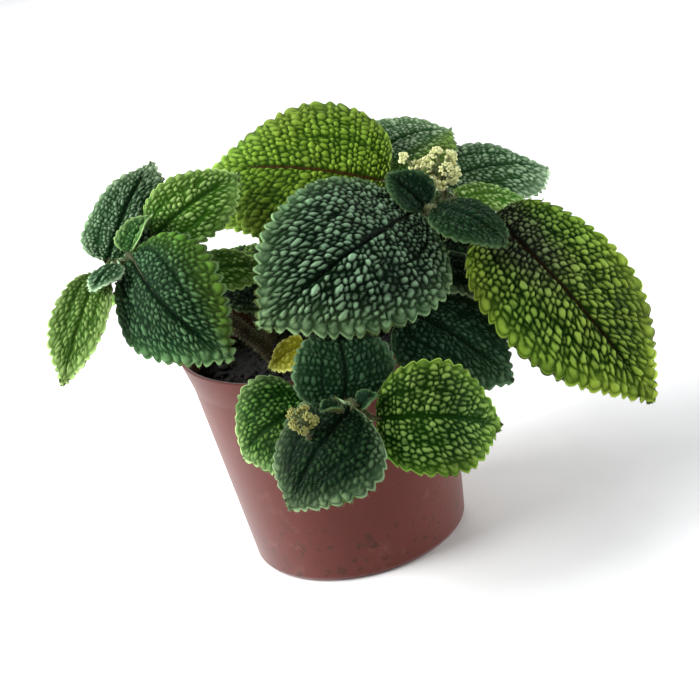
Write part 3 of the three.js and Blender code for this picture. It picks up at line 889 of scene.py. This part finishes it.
def floret(size, local, small):
    """Four lobes round a middle, open upwards: the points of each ball, with its mask."""
    balls = []
    for k in range(4):
        lean = (k + local.uniform(-0.12, 0.12)) * TAU / 4
        petal = small * [0.56, 0.8, 0.34]
        petal = petal @ np.array(Matrix.Rotation(0.6, 3, "X")).T + [0, 0.68, 0.3]
        balls.append((petal @ np.array(Matrix.Rotation(lean, 3, "Z")).T * size, 0.0))
    balls.append((small * 0.42 * size + [0, 0, 0.3 * size], 0.5))
    return balls


def flower_head(head, index):
    """Small tight clusters of four-lobed florets and round buds, dark between them."""
    local = np.random.default_rng(700 + index)
    heap = Heap()
    points, faces = ball(2)
    small, small_faces = ball(1)
    radius = head["radius"]
    centre = np.array(head["at"], float)
    heap.add(centre + points * radius * 0.3, faces, mask=1.0)
    count = head["clusters"]
    turns = head["turn"] + np.arange(count) * GOLDEN_ANGLE + local.uniform(-0.2, 0.2, count)
    reach = radius * local.uniform(0.56, 0.68, count)
    up = 1 - 1.8 * (np.arange(count) + 0.5) / count
    ring = np.sqrt(1 - up * up)
    ways = np.stack([ring * np.cos(turns), ring * np.sin(turns), up], -1)
    clusters = [(centre, centre + way * length, way) for way, length in zip(ways, reach)]
    fork = centre - [0, 0, radius * 0.95]
    clusters += [(fork, np.array(spot), unit(np.array(spot) - fork)) for spot in head["side"]]
    for i, (start, hub, way) in enumerate(clusters):
        line = np.linspace(0, 1, 4)[:, None] * (hub - start) + start
        points, quads, caps, _, _ = tube(line, np.full(4, 0.07 * radius), 6, i)
        heap.add(points, caps, quads, 0.85)
        outwards = turned(way)
        for k in range(7):
            tilt = 0.1 if k == 0 else local.uniform(0.95, 1.25)
            spin = (k + local.uniform(-0.2, 0.2)) * TAU / 6
            aim = [math.sin(tilt) * math.cos(spin), math.sin(tilt) * math.sin(spin), math.cos(tilt)]
            aim = outwards @ np.array(aim)
            spot = hub + aim * radius * local.uniform(0.18, 0.24)
            size = local.uniform(0.85, 1.15) * (0.25 + 0.08 * radius)
            matrix = turned(aim)
            if local.random() < 0.55:
                for shape, mask in floret(size, local, small):
                    heap.add(spot + shape @ matrix.T, small_faces, mask=mask)
            else:
                bud = small * [0.95, 0.95, 1.1] * size
                shade = local.uniform(0.05, 0.45)
                heap.add(spot + bud @ matrix.T, small_faces, mask=shade)
    name = head["name"].replace("flower_head_", "florets_")
    heap.make(name, FLOWER_LOOKS[head["look"]], head["name"], head["slot"])


# --- soil ---
CRUMBS = 420


def soil_height(x, y):
    p = np.stack([x, y, np.zeros_like(x)], -1)
    r = np.hypot(x, y)
    crumbs = np.abs(noise(p, 7, 11))
    fine = np.abs(noise(p, 2.6, 12))
    return SOIL_TOP + 0.9 - 0.00055 * r * r - 1.3 * crumbs + 0.5 * noise(p, 22, 13) - 0.5 * fine


def soil():
    """The crumbly top, a plain underside inside the pot, and loose crumbs."""
    edge = POT_WALL_R - WALL - 0.15
    rings, sides = 66, 200
    r = np.linspace(0.4, edge, rings)
    turn = np.arange(sides) / sides * TAU
    R, T = np.meshgrid(r, turn, indexing="ij")
    x, y = R * np.cos(T), R * np.sin(T)
    top = np.stack([x, y, soil_height(x, y)], -1)
    low_r = POT_BASE_R - WALL - 1.8
    lower = [
        np.stack([low_r * np.cos(turn), low_r * np.sin(turn), np.full(sides, z)], -1)
        for z in (FLOOR_THICK + 2.5, FLOOR_THICK + 0.3)
    ]
    grid_points = np.concatenate([top, np.array(lower)], 0)
    rows = len(grid_points)
    grid = np.arange(rows * sides).reshape(rows, sides)
    nxt = np.roll(grid, -1, 1)
    quads = np.stack([grid[:-1], grid[1:], nxt[1:], nxt[:-1]], -1).reshape(-1, 4)
    centre_top = [0, 0, float(soil_height(np.array(0.0), np.array(0.0)))]
    points = np.concatenate([grid_points.reshape(-1, 3), [centre_top, [0, 0, FLOOR_THICK + 0.3]]])
    up, down = rows * sides, rows * sides + 1
    caps = np.concatenate(
        [
            np.stack([grid[0], nxt[0], np.full(sides, up)], 1),
            np.stack([nxt[-1], grid[-1], np.full(sides, down)], 1),
        ]
    )
    heap = Heap()
    heap.add(points, caps, quads, 0.0)
    local = np.random.default_rng(31)
    lump, lump_faces = ball(2)
    for i in range(CRUMBS):
        size = local.uniform(0.45, 1.0) * (1.9 if local.random() < 0.2 else 1.0)
        r, t = math.sqrt(local.random()) * (edge - 1.5), local.uniform(0, TAU)
        x, y = r * math.cos(t), r * math.sin(t)
        shape = lump * (1 + 0.28 * noise(lump + 9 * i, 1.6, i))[:, None]
        shape = shape * size * local.uniform([0.7, 0.7, 0.5], [1.3, 1.3, 0.9])
        z = float(soil_height(np.array(x), np.array(y))) + 0.2 * size
        paleness = local.choice([0.0, 0.35, 1.0], p=[0.6, 0.3, 0.1])
        heap.add(shape + [x, y, z], lump_faces, mask=paleness)
    heap.make("soil_surface", SOIL_LOOK, "soil", "soil")


# --- the pot ---
POT_SIDES = 160


def rounded(corners, radius, steps=5):
    """A profile with each inner corner rounded off."""
    line = [np.array(corners[0], float)]
    for before, here, after in zip(corners, corners[1:], corners[2:]):
        before, here, after = (np.array(p, float) for p in (before, here, after))
        reach = min(radius, 0.45 * np.linalg.norm(here - before), 0.45 * np.linalg.norm(after - here))
        a = here + unit(before - here) * reach
        b = here + unit(after - here) * reach
        for k in range(steps + 1):
            t = k / steps
            line.append((1 - t) ** 2 * a + 2 * t * (1 - t) * here + t * t * b)
    line.append(np.array(corners[-1], float))
    return np.array(line)


def pot():
    """A turned wall with a rounded rim and a flared collar, and holes cut in its floor."""
    shoulder = POT_HEIGHT - FLARE_HEIGHT
    corners = [
        (0, FOOT_RISE), (POT_BASE_R - 3.4, FOOT_RISE), (POT_BASE_R - 3.0, 0), (POT_BASE_R - 1.2, 0),
        (POT_BASE_R, 1.6), (POT_WALL_R, shoulder), (POT_RIM_R, POT_HEIGHT),
        (POT_RIM_R - WALL, POT_HEIGHT), (POT_WALL_R - WALL, shoulder),
        (POT_BASE_R - WALL, FLOOR_THICK + 1.5), (POT_BASE_R - WALL - 1.5, FLOOR_THICK + FOOT_RISE),
        (0, FLOOR_THICK + FOOT_RISE),
    ]
    line = rounded(corners, 0.55)[1:-1]
    turn = np.arange(POT_SIDES) / POT_SIDES * TAU
    rings = np.stack(
        [
            np.outer(line[:, 0], np.cos(turn)),
            np.outer(line[:, 0], np.sin(turn)),
            np.repeat(line[:, 1:], POT_SIDES, 1),
        ],
        -1,
    )
    points, quads, caps = closed_rings(rings, [0, 0, FOOT_RISE], [0, 0, FLOOR_THICK + FOOT_RISE])
    body = mesh_object("pot_body", points, (quads, caps), POT_LOOK, "pot")
    drills = bmesh.new()
    for i in range(DRAIN_HOLES):
        at = (i + 0.5) / DRAIN_HOLES * TAU
        spot = Vector((DRAIN_CIRCLE_R * math.cos(at), DRAIN_CIRCLE_R * math.sin(at), 0)) * MM
        bmesh.ops.create_cone(
            drills, cap_ends=True, segments=40, radius1=DRAIN_R * MM, radius2=DRAIN_R * MM,
            depth=12 * MM, matrix=Matrix.Translation(spot),
        )
    cutter_mesh = bpy.data.meshes.new("drills")
    drills.to_mesh(cutter_mesh)
    drills.free()
    cutter = bpy.data.objects.new("drills", cutter_mesh)
    bpy.context.scene.collection.objects.link(cutter)
    cut = body.modifiers.new("drain_holes", "BOOLEAN")
    cut.operation = "DIFFERENCE"
    cut.object = cutter
    cut.solver = "EXACT"
    bpy.context.view_layer.update()
    drilled = body.evaluated_get(bpy.context.evaluated_depsgraph_get())
    cut_mesh = bpy.data.meshes.new_from_object(drilled)
    body.modifiers.clear()
    body.data = cut_mesh
    bpy.data.objects.remove(cutter)


# --- building ---
for index, spec in enumerate(STEMS):
    grow(spec, index)
for index, head in enumerate(HEADS):
    flower_head(head, index)
soil()
pot()


# --- floor, light and camera ---
FLOOR_HALF = 3.0
CAMERA_DISTANCE, CAMERA_LIFT, CAMERA_LEAN = 0.650, math.radians(24.3), math.radians(13)
CAMERA_HEIGHT = 0.035  # of the point that the distance and the lift are taken from
CAMERA_AIM = (0.009, -0.006, 0.063)
LENS_MM, SENSOR_MM = 107, 36
PLANT_CENTRE = (0.0, 0.0, 0.07)
POT_CENTRE = (0.03, 0.0, 0.03)


def floor():
    mesh = bpy.data.meshes.new("floor")
    corners = [(x * FLOOR_HALF, y * FLOOR_HALF, 0) for x, y in ((-1, -1), (1, -1), (1, 1), (-1, 1))]
    mesh.from_pydata(corners, [], [(0, 1, 2, 3)])
    made = bpy.data.objects.new("floor", mesh)
    bpy.context.scene.collection.objects.link(made)
    look = Look("floor")
    grain = look.noise(30, 2)
    color = look.mix(look.ramp(grain, 0.3, 0.7), tone(244, 244, 244), tone(248, 248, 248))
    mesh.materials.append(look.finish(color, 0.8))


def lamp(name, watts, size, where, target):
    data = bpy.data.lights.new(name, "AREA")
    data.energy = watts
    data.size = size
    made = bpy.data.objects.new(name, data)
    made.location = where
    made.rotation_euler = (Vector(target) - Vector(where)).to_track_quat("-Z", "Y").to_euler()
    bpy.context.scene.collection.objects.link(made)


def camera():
    """Looks down on the plant, with the head tilted so that the pot leans in the picture."""
    back, rise = CAMERA_DISTANCE * math.cos(CAMERA_LIFT), CAMERA_DISTANCE * math.sin(CAMERA_LIFT)
    place = Vector((0, -back, CAMERA_HEIGHT + rise))
    forward = (Vector(CAMERA_AIM) - place).normalized()
    right = forward.cross(Vector((0, 0, 1))).normalized()
    up = right.cross(forward)
    leaned_right = right * math.cos(CAMERA_LEAN) - up * math.sin(CAMERA_LEAN)
    leaned_up = right * math.sin(CAMERA_LEAN) + up * math.cos(CAMERA_LEAN)
    data = bpy.data.cameras.new("camera")
    data.lens = LENS_MM
    data.sensor_width = SENSOR_MM
    made = bpy.data.objects.new("camera", data)
    turn = Matrix((leaned_right, leaned_up, -forward)).transposed().to_4x4()
    made.matrix_world = Matrix.Translation(place) @ turn
    bpy.context.scene.collection.objects.link(made)
    bpy.context.scene.camera = made


floor()
lamp("key", 23.0, 0.85, (-0.82, -0.04, 0.6), PLANT_CENTRE)
lamp("fill", 0.4, 0.8, (0.7, -0.5, 0.45), PLANT_CENTRE)
lamp("low", 5.0, 0.4, (0.72, 0.02, 0.12), POT_CENTRE)
lamp("back", 4.0, 0.6, (0.1, 0.8, 0.7), PLANT_CENTRE)
camera()
world = bpy.data.worlds.new("world")
world.use_nodes = True
background = world.node_tree.nodes["Background"]
background.inputs["Color"].default_value = (0.92, 0.95, 1.0, 1)
background.inputs["Strength"].default_value = 0.36
bpy.context.scene.world = world
bpy.context.scene.view_settings.view_transform = "Standard"
